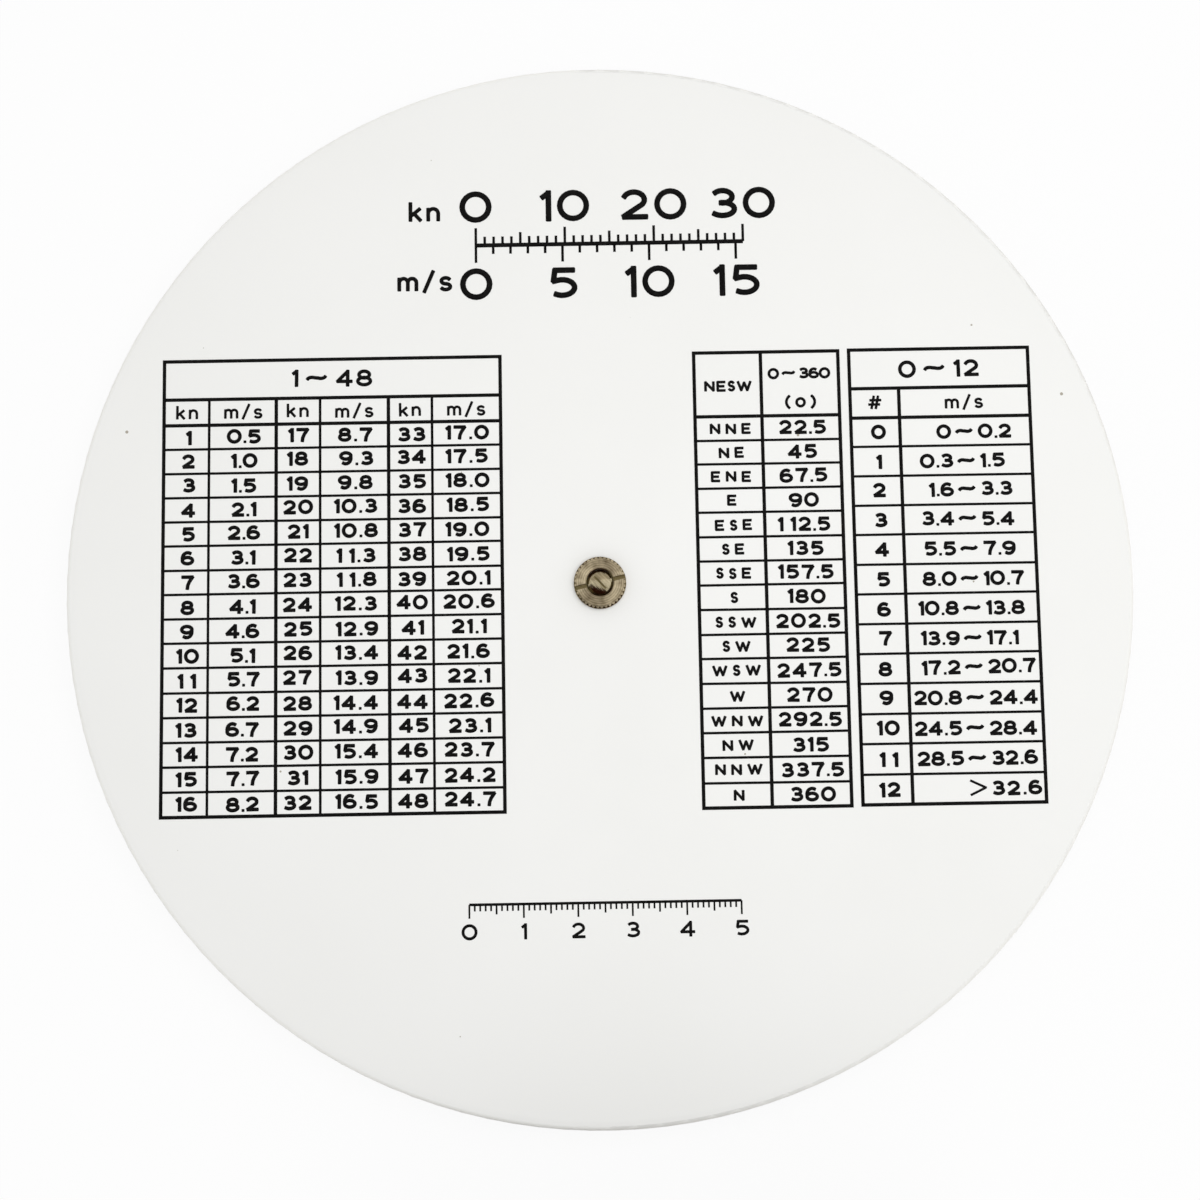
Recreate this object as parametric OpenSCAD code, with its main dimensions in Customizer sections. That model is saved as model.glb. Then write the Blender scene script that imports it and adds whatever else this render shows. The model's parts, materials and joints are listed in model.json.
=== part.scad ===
// Circular wind calculator: a white base disc with a clear dial and a clear cursor,
// held on one pivot screw by a knurled, slotted ring nut.
// The Z axis is the pivot. The table side faces up, and the part lies on the pivot screw's head.

/* [Base disc] */
// Diameter of the base disc
base_d = 200; // [120:1:300]
// Thickness of the base disc
base_t = 2; // [1.5:0.1:5]
// Rounding of the base disc's rim, on both faces
base_rim_r = 0.9; // [0.1:0.05:1.2]
// Width of the scale ring that the dial leaves free on the base disc
scale_ring_w = 15; // [6:0.5:25]

/* [Dial disc] */
// Thickness of the dial disc
dial_t = 1.5; // [1:0.1:4]
// Width of the bevel that brings the dial's edge down to the scale ring
dial_bevel_w = 4; // [1:0.5:8]
// Thickness that the bevel leaves at the dial's edge
dial_edge_t = 0.6; // [0.2:0.1:0.9]

/* [Cursor arm] */
// Thickness of the cursor arm
cursor_t = 1.5; // [0.8:0.1:4]
// Diameter of the cursor's eye
cursor_eye_d = 28; // [20:1:36]
// Width of the cursor's rounded tip
cursor_tip_w = 14; // [6:1:18]
// Distance from the cursor's tip to the base disc's rim
cursor_tip_inset = 2; // [0:0.5:5]

/* [Pivot screw] */
// Diameter of the screw's thread
screw_d = 5; // [4:0.1:6]
// Diameter of the screw's head
head_d = 14; // [12:0.5:18]
// Thickness of the screw's head
head_t = 1.8; // [1.2:0.1:4]
// Rounding of the head's edge
head_edge_r = 0.7; // [0.2:0.1:1]
// How much narrower the bare tail is than the thread, on each side
tail_relief = 0.2; // [0.05:0.05:0.4]
// Length of the bare tail
tail_l = 1; // [0.7:0.1:1.4]
// Height of the tail's domed end
tail_dome_h = 0.5; // [0.1:0.05:0.6]
// Depth of the tail's end below the nut's face
tail_recess = 0.35; // [0:0.05:0.6]
// Width of the tail's driver slot
tail_slot_w = 0.4; // [0.3:0.05:1.4]
// Depth of the tail's driver slot
tail_slot_depth = 0.25; // [0.15:0.05:0.8]
// Direction of the tail's driver slot
tail_slot_angle = -46; // [-90:1:90]

/* [Ring nut] */
// Diameter of the ring nut over its foot
nut_d = 9.8; // [9:0.1:16]
// Height of the ring nut
nut_t = 1.8; // [1.5:0.1:5]
// Chamfer of the nut's outer edges
nut_chamfer = 0.45; // [0.1:0.05:0.6]
// Height of the nut's plain foot under the knurl
nut_foot_t = 0.65; // [0.4:0.05:1]
// How far the foot stands out past the knurl
nut_foot_step = 0.06; // [0.02:0.01:0.2]
// Chamfer of the nut's bore
nut_bore_chamfer = 0.15; // [0.05:0.05:0.3]
// Number of ridges in the straight knurl
knurl_count = 37; // [24:1:60]
// Depth of the knurl
knurl_depth = 0.4; // [0.05:0.01:0.45]
// Share of each ridge's pitch that its flat crest takes
knurl_crest = 0.2; // [0.1:0.05:0.7]
// Width of the nut's spanner slot
nut_slot_w = 0.8; // [0.4:0.1:1.6]
// Depth of the nut's spanner slot
nut_slot_depth = 0.6; // [0.2:0.1:1]
// Direction of the nut's spanner slot
nut_slot_angle = 13; // [-90:1:90]

/* [Sleeve, washers and spring] */
// Wall of the sleeve that the dial and the cursor turn on
sleeve_wall = 1; // [0.5:0.1:1.5]
// Diameter of the slip washers beside the dial
slip_washer_d = 24; // [16:1:36]
// Thickness of the slip washers beside the dial
slip_washer_t = 0.3; // [0.1:0.05:1]
// Diameter of the thrust washer under the cursor's eye
thrust_washer_d = 18; // [14:0.5:24]
// Thickness of the thrust washer
thrust_washer_t = 0.4; // [0.2:0.05:1]
// Thickness of the dished spring washer's sheet
spring_t = 0.3; // [0.15:0.05:0.6]
// Height that the spring washer is dished by
spring_dish = 0.5; // [0.2:0.05:1]
// Distance from the spring washer's edge to the head's edge
spring_inset = 0.8; // [0.2:0.1:1.5]

/* [Fits] */
// Radial clearance of the dial and the cursor on the sleeve
running_clearance = 0.05; // [0.02:0.01:0.1]
// Radial clearance of the fixed pieces on the screw and the sleeve
seat_clearance = 0.05; // [0.02:0.01:0.1]

/* [Hidden] */
$fn = 96;

// Small overrun of a cut past the face that it opens
cut = 0.1;

// Radii
base_r = base_d / 2;
dial_r = base_r - scale_ring_w;
screw_r = screw_d / 2;
screw_hole_r = screw_r + seat_clearance;
sleeve_r = screw_hole_r + sleeve_wall;
running_bore_r = sleeve_r + running_clearance;
washer_bore_r = sleeve_r + seat_clearance;
tail_r = screw_r - tail_relief;

// Levels of the stack, from the head's face upwards
spring_z = head_t;
thrust_washer_z = spring_z + spring_dish + spring_t;
cursor_z = thrust_washer_z + thrust_washer_t;
cursor_washer_z = cursor_z + cursor_t;
dial_z = cursor_washer_z + slip_washer_t;
dial_washer_z = dial_z + dial_t;
base_z = dial_washer_z + slip_washer_t;
nut_z = base_z + base_t;
tail_end_z = nut_z + nut_t - tail_recess;

// Point at a radius and an angle
function polar(radius, angle) = radius * [cos(angle), sin(angle)];

// Half section of a disc with a bore and a rounded rim on both faces
module rounded_section(bore_r, outer_r, thickness, rounding) {
  rim_r = min(rounding, thickness / 2 - 0.05);
  translate([bore_r, rim_r]) square([outer_r - bore_r, thickness - 2 * rim_r]);
  translate([bore_r, 0]) square([outer_r - rim_r - bore_r, thickness]);
  for (z = [rim_r, thickness - rim_r])
    translate([outer_r - rim_r, z]) circle(rim_r);
}

// Flat washer with its lower face at z
module washer(outer_r, thickness, z) {
  translate([0, 0, z]) difference() {
    cylinder(r = outer_r, h = thickness);
    translate([0, 0, -cut]) cylinder(r = washer_bore_r, h = thickness + 2 * cut);
  }
}

// Driver slot, cut from the level z upwards and right across a piece of the given radius
module cross_slot(width, z, height, radius, angle) {
  translate([0, 0, z]) rotate([0, 0, angle])
    translate([-radius - cut, -width / 2, 0]) cube([2 * (radius + cut), width, height]);
}

// White rigid sheet that carries the printed scale ring and tables
module base_disc() {
  color("whitesmoke") translate([0, 0, base_z])
    rotate_extrude() rounded_section(screw_hole_r, base_r, base_t, base_rim_r);
}

// Clear disc that turns on the sleeve, bevelled on the side that is read
module dial_disc() {
  color("lightcyan", 0.5) translate([0, 0, dial_z])
    rotate_extrude() polygon([
      [running_bore_r, 0],
      [dial_r - dial_bevel_w, 0],
      [dial_r, dial_t - dial_edge_t],
      [dial_r, dial_t],
      [running_bore_r, dial_t]
    ]);
}

// Outline of the cursor: an eye and a round tip joined by their outer tangents
module cursor_outline() {
  eye_r = cursor_eye_d / 2;
  tip_r = cursor_tip_w / 2;
  tip_y = base_r - cursor_tip_inset - tip_r;
  slope = asin((eye_r - tip_r) / tip_y);
  eye_tangent = polar(eye_r, slope);
  tip_tangent = [0, tip_y] + polar(tip_r, slope);
  circle(eye_r);
  translate([0, tip_y]) circle(tip_r);
  polygon([
    eye_tangent,
    tip_tangent,
    [-tip_tangent.x, tip_tangent.y],
    [-eye_tangent.x, eye_tangent.y]
  ]);
}

// Clear arm that carries the hairline and turns on the sleeve
module cursor_arm() {
  color("azure", 0.5) translate([0, 0, cursor_z]) difference() {
    linear_extrude(cursor_t) cursor_outline();
    translate([0, 0, -cut]) cylinder(r = running_bore_r, h = cursor_t + 2 * cut);
  }
}

// Screw with a plain flat head, a threaded shank and a bare, domed and slotted tail
module pivot_screw() {
  dome_r = (pow(tail_r, 2) + pow(tail_dome_h, 2)) / (2 * tail_dome_h);
  shank_end_z = tail_end_z - tail_l;
  color("#94876a") difference() {
    union() {
      rotate_extrude() {
        square([head_d / 2 - head_edge_r, head_t]);
        translate([0, head_edge_r]) square([head_d / 2, head_t - head_edge_r]);
        translate([head_d / 2 - head_edge_r, head_edge_r]) circle(head_edge_r);
      }
      cylinder(r = screw_r, h = shank_end_z);
      intersection() {
        cylinder(r = tail_r, h = tail_end_z);
        translate([0, 0, tail_end_z - dome_r]) sphere(dome_r);
      }
    }
    cross_slot(tail_slot_w, tail_end_z - tail_slot_depth, tail_slot_depth + cut, screw_r, tail_slot_angle);
  }
}

// Tube that spaces the base disc from the head, so that the dial and the cursor stay free
module pivot_sleeve() {
  color("darkkhaki") translate([0, 0, head_t]) difference() {
    cylinder(r = sleeve_r, h = base_z - head_t);
    translate([0, 0, -cut]) cylinder(r = screw_hole_r, h = base_z - head_t + 2 * cut);
  }
}

// Outline of the straight knurl: each ridge has the two ends of its flat crest and a root point
module knurl_outline(crest_r) {
  pitch = 360 / knurl_count;
  root_share = (1 + knurl_crest) / 2;
  ridge = [[0, crest_r], [knurl_crest, crest_r], [root_share, crest_r - knurl_depth]];
  polygon([for (i = [0 : knurl_count - 1], p = ridge) polar(p[1], (i + p[0]) * pitch)]);
}

// Round knurled nut on a plain foot, with a slot across its face for a forked driver
module ring_nut() {
  foot_r = nut_d / 2;
  crest_r = foot_r - nut_foot_step;
  mouth_r = screw_hole_r + nut_bore_chamfer;
  past = 0.3; // the cone of the upper chamfer runs on this far past the crests
  color("#94876a") translate([0, 0, nut_z]) difference() {
    union() {
      rotate_extrude() polygon([
        [0, 0],
        [foot_r - nut_chamfer, 0],
        [foot_r, nut_chamfer],
        [foot_r, nut_foot_t],
        [0, nut_foot_t]
      ]);
      intersection() {
        linear_extrude(nut_t) knurl_outline(crest_r);
        rotate_extrude() polygon([
          [0, nut_foot_t / 2],
          [crest_r + past, nut_foot_t / 2],
          [crest_r + past, nut_t - nut_chamfer - past],
          [crest_r - nut_chamfer, nut_t],
          [0, nut_t]
        ]);
      }
    }
    rotate_extrude() polygon([
      [0, -cut],
      [mouth_r + cut, -cut],
      [screw_hole_r, nut_bore_chamfer],
      [screw_hole_r, nut_t - nut_bore_chamfer],
      [mouth_r + cut, nut_t + cut],
      [0, nut_t + cut]
    ]);
    cross_slot(nut_slot_w, nut_t - nut_slot_depth, nut_slot_depth + cut, foot_r, nut_slot_angle);
  }
}

// Slip washer between the base disc and the dial
module dial_washer() {
  color("ivory") washer(slip_washer_d / 2, slip_washer_t, dial_washer_z);
}

// Slip washer between the dial and the cursor
module cursor_washer() {
  color("ivory") washer(slip_washer_d / 2, slip_washer_t, cursor_washer_z);
}

// Thrust washer that spreads the spring's push over the cursor's eye
module thrust_washer() {
  color("darkkhaki") washer(thrust_washer_d / 2, thrust_washer_t, thrust_washer_z);
}

// Dished washer that keeps the dial and the cursor from turning by themselves
module spring_washer() {
  spring_r = head_d / 2 - spring_inset;
  color("silver") translate([0, 0, spring_z])
    rotate_extrude() polygon([
      [washer_bore_r, 0],
      [spring_r, spring_dish],
      [spring_r, spring_dish + spring_t],
      [washer_bore_r, spring_t]
    ]);
}

base_disc();
dial_disc();
cursor_arm();
pivot_screw();
pivot_sleeve();
ring_nut();
dial_washer();
cursor_washer();
thrust_washer();
spring_washer();
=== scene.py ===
# Circular wind calculator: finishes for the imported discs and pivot, and the tables and scales printed on them
import json
import math
import random

import bpy
from mathutils import Matrix, Vector


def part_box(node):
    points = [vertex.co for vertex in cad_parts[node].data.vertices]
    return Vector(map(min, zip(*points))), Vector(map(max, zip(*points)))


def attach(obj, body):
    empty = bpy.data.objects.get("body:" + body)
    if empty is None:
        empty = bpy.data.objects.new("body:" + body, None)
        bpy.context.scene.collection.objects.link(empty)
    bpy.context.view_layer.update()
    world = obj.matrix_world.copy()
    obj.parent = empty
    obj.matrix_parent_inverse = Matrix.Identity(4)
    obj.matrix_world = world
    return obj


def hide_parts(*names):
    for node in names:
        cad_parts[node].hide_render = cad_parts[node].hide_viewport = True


mm = 0.001
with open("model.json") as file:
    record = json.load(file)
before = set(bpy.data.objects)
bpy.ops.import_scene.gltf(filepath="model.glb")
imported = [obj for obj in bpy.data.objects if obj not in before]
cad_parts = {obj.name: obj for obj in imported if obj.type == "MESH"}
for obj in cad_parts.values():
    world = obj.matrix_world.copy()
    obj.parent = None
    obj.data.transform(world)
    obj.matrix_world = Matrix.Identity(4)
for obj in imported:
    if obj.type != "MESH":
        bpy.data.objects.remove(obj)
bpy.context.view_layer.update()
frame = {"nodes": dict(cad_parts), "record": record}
dice = random.Random(7)  # every small irregularity of the hand-laid print comes from here

baseLow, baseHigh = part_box("base_disc")
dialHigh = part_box("dial_disc")[1]
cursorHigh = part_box("cursor_arm")[1]
rimR = baseHigh.x
dialR = dialHigh.x
print("frame loaded:", len(frame["nodes"]), "nodes, rim radius", round(rimR / mm, 1), "mm")


# Tools

def linearHex(code):
    channels = [int(code[i:i + 2], 16) / 255 for i in (0, 2, 4)]
    return [c / 12.92 if c <= 0.04045 else ((c + 0.055) / 1.055) ** 2.4 for c in channels] + [1.0]


# inputs go by name, or by number where names repeat; a node as a value stands for its first live output
def feedNode(tree, node, inputs):
    for key, value in inputs.items():
        live = [socket for socket in node.inputs if socket.enabled]
        target = live[key] if isinstance(key, int) else next(s for s in live if s.name == key)
        if isinstance(value, bpy.types.Node):
            value = next(s for s in value.outputs if s.enabled)
        if isinstance(value, bpy.types.NodeSocket):
            tree.links.new(value, target)
        else:
            target.default_value = value


def addNode(tree, kind, inputs=None, **settings):
    node = tree.nodes.new(kind)
    for name, value in settings.items():
        setattr(node, name, value)
    feedNode(tree, node, inputs or {})
    return node


def emptyTree(owner):
    owner.use_nodes = True
    owner.node_tree.nodes.clear()
    return owner.node_tree


def startFinish(name):
    material = bpy.data.materials.new(name)
    tree = emptyTree(material)
    shader = addNode(tree, "ShaderNodeBsdfPrincipled")
    addNode(tree, "ShaderNodeOutputMaterial", {"Surface": shader})
    place = addNode(tree, "ShaderNodeTexCoord").outputs["Object"]
    return material, tree, shader, place


def makeMesh(name, spots, edges, faces):
    mesh = bpy.data.meshes.new(name)
    mesh.from_pydata(spots, edges, faces)
    return mesh


def placeObject(name, data):
    thing = bpy.data.objects.new(name, data)
    bpy.context.scene.collection.objects.link(thing)
    return thing


# Materials

noiseSpan = {"From Min": 0.3, "From Max": 0.7}  # where most of a noise texture's values lie


# distance from the pivot's axis
def addPivotRadius(tree, place):
    flat = addNode(tree, "ShaderNodeVectorMath", {0: place, 1: (1, 1, 0)}, operation="MULTIPLY")
    return addNode(tree, "ShaderNodeVectorMath", {0: flat}, operation="LENGTH")


# rigid PVC sheet, calendered and press-polished: an even satin white, with a slightly darker, warmer band of
# painted edge shade at the turned rim
whitePvc = {
    "sheet": "F4F4F2", "cloud": "EFEFEC", "cloudMm": 45,
    "rim": "F2F1EC", "rimWidthMm": 0.9, "rimFullMm": 0.27, "rollWidthMm": 2.0, "rollDepthMm": 0.07,
    "speck": "A9A396", "speckMm": 0.3, "speckEveryMm": 44,
    "peelMm": 1.4, "peelDepthMm": 0.003,
    "roughLow": 0.36, "roughHigh": 0.46, "roughMm": 9, "ior": 1.53,
}


def makeWhitePvc(d=whitePvc):
    material, tree, shader, place = startFinish("whiteRigidPvc")
    cloud = addNode(tree, "ShaderNodeTexNoise",
                    {"Vector": place, "Scale": 1 / (d["cloudMm"] * mm), "Detail": 2.0})
    sheet = addNode(tree, "ShaderNodeMix",
                    {"Factor": cloud, "A": linearHex(d["sheet"]), "B": linearHex(d["cloud"])},
                    data_type="RGBA")
    # a few dust specks, one in some of the cells of a wide net
    net = addNode(tree, "ShaderNodeTexVoronoi", {"Vector": place, "Scale": 1 / (d["speckEveryMm"] * mm)},
                  voronoi_dimensions="2D")
    pick = addNode(tree, "ShaderNodeSeparateColor", {"Color": net.outputs["Color"]})
    reach = addNode(tree, "ShaderNodeMath", {0: pick, 1: d["speckMm"] / d["speckEveryMm"]},
                    operation="MULTIPLY")
    speck = addNode(tree, "ShaderNodeMath", {0: net, 1: reach}, operation="LESS_THAN")
    dusty = addNode(tree, "ShaderNodeMix",
                    {"Factor": speck, "A": sheet, "B": linearHex(d["speck"])}, data_type="RGBA")
    # the band of painted edge shade at the rim is found by its distance from the pivot
    radius = addPivotRadius(tree, place)
    rim = addNode(tree, "ShaderNodeMapRange", {"Value": radius, "From Min": rimR - d["rimWidthMm"] * mm,
                                               "From Max": rimR - d["rimFullMm"] * mm})
    colour = addNode(tree, "ShaderNodeMix",
                     {"Factor": rim, "A": dusty, "B": linearHex(d["rim"])}, data_type="RGBA")
    handled = addNode(tree, "ShaderNodeTexNoise",
                      {"Vector": place, "Scale": 1 / (d["roughMm"] * mm), "Detail": 5.0})
    rough = addNode(tree, "ShaderNodeMapRange", {"Value": handled, **noiseSpan,
                                                 "To Min": d["roughLow"], "To Max": d["roughHigh"]})
    peel = addNode(tree, "ShaderNodeTexNoise",
                   {"Vector": place, "Scale": 1 / (d["peelMm"] * mm), "Detail": 3.0})
    bump = addNode(tree, "ShaderNodeBump",
                   {"Height": peel, "Strength": 1.0, "Distance": d["peelDepthMm"] * mm})
    # polishing has rounded the sheet off a little before the rim
    roll = addNode(tree, "ShaderNodeMapRange",
                   {"Value": radius, "From Min": rimR - d["rollWidthMm"] * mm, "From Max": rimR,
                    "To Min": 1.0, "To Max": 0.0}, interpolation_type="SMOOTHSTEP")
    crown = addNode(tree, "ShaderNodeBump", {"Height": roll, "Strength": 1.0,
                                             "Distance": d["rollDepthMm"] * mm, "Normal": bump})
    feedNode(tree, shader, {"Base Color": colour, "Roughness": rough, "Normal": crown, "IOR": d["ior"]})
    return material


# screen-printing ink: dense, dull and slightly uneven where the mesh of the screen left it thinner
blackInk = {"name": "blackScreenInk", "dense": "050505", "thin": "121110", "patchMm": 0.9,
            "thinFrom": 0.45, "thinTo": 0.75, "roughness": 0.6, "shine": 0.12}
redInk = {"name": "redScreenInk", "dense": "A5121A", "thin": "C0262B", "patchMm": 0.9,
          "thinFrom": 0.45, "thinTo": 0.75, "roughness": 0.45, "shine": 0.3}


def makeInk(d):
    material, tree, shader, place = startFinish(d["name"])
    patch = addNode(tree, "ShaderNodeTexNoise",
                    {"Vector": place, "Scale": 1 / (d["patchMm"] * mm), "Detail": 4.0})
    thin = addNode(tree, "ShaderNodeMapRange",
                   {"Value": patch, "From Min": d["thinFrom"], "From Max": d["thinTo"]})
    colour = addNode(tree, "ShaderNodeMix",
                     {"Factor": thin, "A": linearHex(d["dense"]), "B": linearHex(d["thin"])},
                     data_type="RGBA")
    feedNode(tree, shader, {"Base Color": colour, "Roughness": d["roughness"],
                            "Specular IOR Level": d["shine"]})
    return material


# turned metals: nickel plate gone olive with age, with grime and painted shade in its slots and gaps;
# brass and spring steel that are still bright
nutNickel = {"name": "agedNickelNut", "bright": "E0D1B0", "dull": "7F7057", "stainMm": 1.4, "markShare": 0.35,
             "turnMm": 0.42, "markDepthMm": 0.01, "roughLow": 0.38, "roughHigh": 0.5, "grain": 0.9,
             "grimeAndShade": "A0926A", "grimeAndShadeFromMm": 0.46, "grimeAndShadeFullMm": 0.58, "deepGrimeAndShade": "69523E", "deepMm": 1.0,
             "grimeAndShadeRadiusMm": 4.82, "boreMm": 2.62}
# the screw's file strokes show as bright and dull streaks in its colour: file marks and painted reflection
screwNickel = {"name": "agedNickelScrew", "bright": "D3C7A7", "dull": "8E8366", "stainMm": 1.6,
               "markShare": 0.6, "fileMm": 0.34, "fileLengthMm": 3.0, "fileTurn": -46, "fileFrom": 0.35,
               "fileTo": 0.65, "markDepthMm": 0.008, "roughLow": 0.1, "roughHigh": 0.2,
               "grimeAndShade": "A3976F", "grimeAndShadeFromMm": 0.52, "grimeAndShadeFullMm": 0.6, "deepGrimeAndShade": "4F3D2E", "deepMm": 0.9,
               "grimeAndShadeRadiusMm": 2.6, "slotMm": 0.4, "slotReachMm": 1.6}
bareBrass = {"name": "turnedBrass", "bright": "C9A75B", "dull": "B3914C", "stainMm": 5.0, "markShare": 0.5,
             "turnMm": 0.5, "markDepthMm": 0.006, "roughLow": 0.25, "roughHigh": 0.36, "grain": 0.4}
springSteel = {"name": "brightSpringSteel", "bright": "B9BABC", "dull": "A2A3A5", "stainMm": 3.0,
               "markShare": 0.5, "turnMm": 0.6, "markDepthMm": 0.003, "roughLow": 0.2, "roughHigh": 0.3,
               "grain": 0.3}
# the painted deep shade in the gap is lifted in line with the nut's slot, where most of the radius lies along
# the slot
grimeAndShadeLay = {"rough": 0.75, "slotTurn": 13, "shadeLiftedAt": 0.92, "left": 0.7}


# grime and painted shade lie deeper than a given depth under the top, inside a given radius; the painted shade
# darkens further down
def addGrime(tree, place, top, colour, rough, d, shadeLay=grimeAndShadeLay):
    height = addNode(tree, "ShaderNodeSeparateXYZ", {"Vector": place}).outputs["Z"]
    radius = addPivotRadius(tree, place)
    depth = addNode(tree, "ShaderNodeMapRange", {"Value": height, "From Min": top - d["grimeAndShadeFromMm"] * mm,
                                                 "From Max": top - d["grimeAndShadeFullMm"] * mm})
    deepShade = addNode(tree, "ShaderNodeMapRange", {"Value": height, "From Min": top - d["grimeAndShadeFullMm"] * mm,
                                                "From Max": top - d["deepMm"] * mm})
    inside = addNode(tree, "ShaderNodeMath", {0: radius, 1: d["grimeAndShadeRadiusMm"] * mm}, operation="LESS_THAN")
    upper = addNode(tree, "ShaderNodeMath", {0: height, 1: top / 2}, operation="GREATER_THAN")
    near = addNode(tree, "ShaderNodeMath", {0: inside, 1: upper}, operation="MULTIPLY")
    grimeAndShadeMask = addNode(tree, "ShaderNodeMath", {0: depth, 1: near}, operation="MULTIPLY")
    if "slotMm" in d:
        # and, as painted shade and grime, in the shallow slot of the tail, which the file strokes follow
        turn = math.radians(d["fileTurn"])
        across = addNode(tree, "ShaderNodeVectorMath", {0: place, 1: (-math.sin(turn), math.cos(turn), 0)},
                         operation="DOT_PRODUCT")
        off = addNode(tree, "ShaderNodeMath", {0: across}, operation="ABSOLUTE")
        groove = addNode(tree, "ShaderNodeMath", {0: off, 1: d["slotMm"] / 2 * mm}, operation="LESS_THAN")
        reach = addNode(tree, "ShaderNodeMath", {0: radius, 1: d["slotReachMm"] * mm}, operation="LESS_THAN")
        cell = addNode(tree, "ShaderNodeMath", {0: groove, 1: reach}, operation="MULTIPLY")
        slot = addNode(tree, "ShaderNodeMath", {0: cell, 1: upper}, operation="MULTIPLY")
        grimeAndShadeMask = addNode(tree, "ShaderNodeMath", {0: grimeAndShadeMask, 1: slot}, operation="MAXIMUM")
    if "boreMm" in d:
        # and, darkest, as painted shade on the wall of the bore
        bore = addNode(tree, "ShaderNodeMath", {0: radius, 1: d["boreMm"] * mm}, operation="LESS_THAN")
        grimeAndShadeMask = addNode(tree, "ShaderNodeMath", {0: grimeAndShadeMask, 1: bore}, operation="MAXIMUM")
        deepShade = addNode(tree, "ShaderNodeMath", {0: deepShade, 1: bore}, operation="MAXIMUM")
    # the painted deep shade is kept only away from the line of the nut's slot
    turn = math.radians(shadeLay["slotTurn"])
    along = addNode(tree, "ShaderNodeVectorMath", {0: place, 1: (math.cos(turn), math.sin(turn), 0)},
                    operation="DOT_PRODUCT")
    share = addNode(tree, "ShaderNodeMath", {0: along, 1: radius}, operation="DIVIDE")
    beside = addNode(tree, "ShaderNodeMath", {0: share}, operation="ABSOLUTE")
    left = addNode(tree, "ShaderNodeMapRange",
                   {"Value": beside, "From Min": shadeLay["shadeLiftedAt"], "From Max": shadeLay["left"]})
    deepShade = addNode(tree, "ShaderNodeMath", {0: deepShade, 1: left}, operation="MULTIPLY")
    grimeAndShadeColour = addNode(tree, "ShaderNodeMix",
                   {"Factor": deepShade, "A": linearHex(d["grimeAndShade"]), "B": linearHex(d["deepGrimeAndShade"])},
                   data_type="RGBA")
    colour = addNode(tree, "ShaderNodeMix", {"Factor": grimeAndShadeMask, "A": colour, "B": grimeAndShadeColour}, data_type="RGBA")
    rough = addNode(tree, "ShaderNodeMix", {"Factor": grimeAndShadeMask, "A": rough, "B": shadeLay["rough"]})
    return colour, rough


def makeTurnedMetal(d, top=0.0):
    material, tree, shader, place = startFinish(d["name"])
    stain = addNode(tree, "ShaderNodeTexNoise",
                    {"Vector": place, "Scale": 1 / (d["stainMm"] * mm), "Detail": 4.0})
    age = addNode(tree, "ShaderNodeMapRange", {"Value": stain, **noiseSpan})
    rough = addNode(tree, "ShaderNodeMapRange", {"Value": stain, **noiseSpan,
                                                 "To Min": d["roughLow"], "To Max": d["roughHigh"]})
    # tool marks: straight file strokes, whose bright and dull streaks in the screw's colour are also painted
    # reflection, or the rings of the lathe; real ones are finer than the render shows
    if "fileMm" in d:
        stretch = (d["fileLengthMm"] * mm, d["fileMm"] * mm, d["fileLengthMm"] * mm)
        stroke = addNode(tree, "ShaderNodeMapping",
                         {"Vector": place, "Scale": stretch, "Rotation": (0, 0, math.radians(d["fileTurn"]))},
                         vector_type="TEXTURE")
        streak = addNode(tree, "ShaderNodeTexNoise", {"Vector": stroke, "Scale": 1.0, "Detail": 3.0})
        mark = addNode(tree, "ShaderNodeMapRange",
                       {"Value": streak, "From Min": d["fileFrom"], "From Max": d["fileTo"]})
    else:
        ringPeriod = math.pi / 10  # of a ring wave of scale 1
        wave = addNode(tree, "ShaderNodeTexWave",
                       {"Vector": place, "Scale": ringPeriod / (d["turnMm"] * mm), "Distortion": 0.6,
                        "Detail": 2.0}, wave_type="RINGS", rings_direction="Z")
        mark = wave.outputs["Fac"]
        around = addNode(tree, "ShaderNodeTangent", direction_type="RADIAL", axis="Z")
        quarterTurn = 0.25  # the rings spread light across themselves
        feedNode(tree, shader, {"Tangent": around, "Anisotropic": d["grain"],
                                "Anisotropic Rotation": quarterTurn})
    bump = addNode(tree, "ShaderNodeBump",
                   {"Height": mark, "Strength": 1.0, "Distance": d["markDepthMm"] * mm})
    worn = addNode(tree, "ShaderNodeMix", {"Factor": d["markShare"], "A": age, "B": mark})
    colour = addNode(tree, "ShaderNodeMix",
                     {"Factor": worn, "A": linearHex(d["bright"]), "B": linearHex(d["dull"])},
                     data_type="RGBA")
    # grime and painted shade in the slots, gaps and bore
    if "grimeAndShade" in d:
        colour, rough = addGrime(tree, place, top, colour, rough, d)
    feedNode(tree, shader, {"Base Color": colour, "Roughness": rough, "Normal": bump, "Metallic": 1.0})
    return material


# cast acrylic: clear polished faces, dulled a little by fine handling scratches, and frosted milled edges
clearAcrylic = {"tint": "FDFEFE", "ior": 1.49, "roughLow": 0.01, "roughHigh": 0.07, "handledMm": 14,
                "handledFrom": 0.4, "handledTo": 0.75, "edgeFacing": 0.5, "edgeRough": 0.65}


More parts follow.
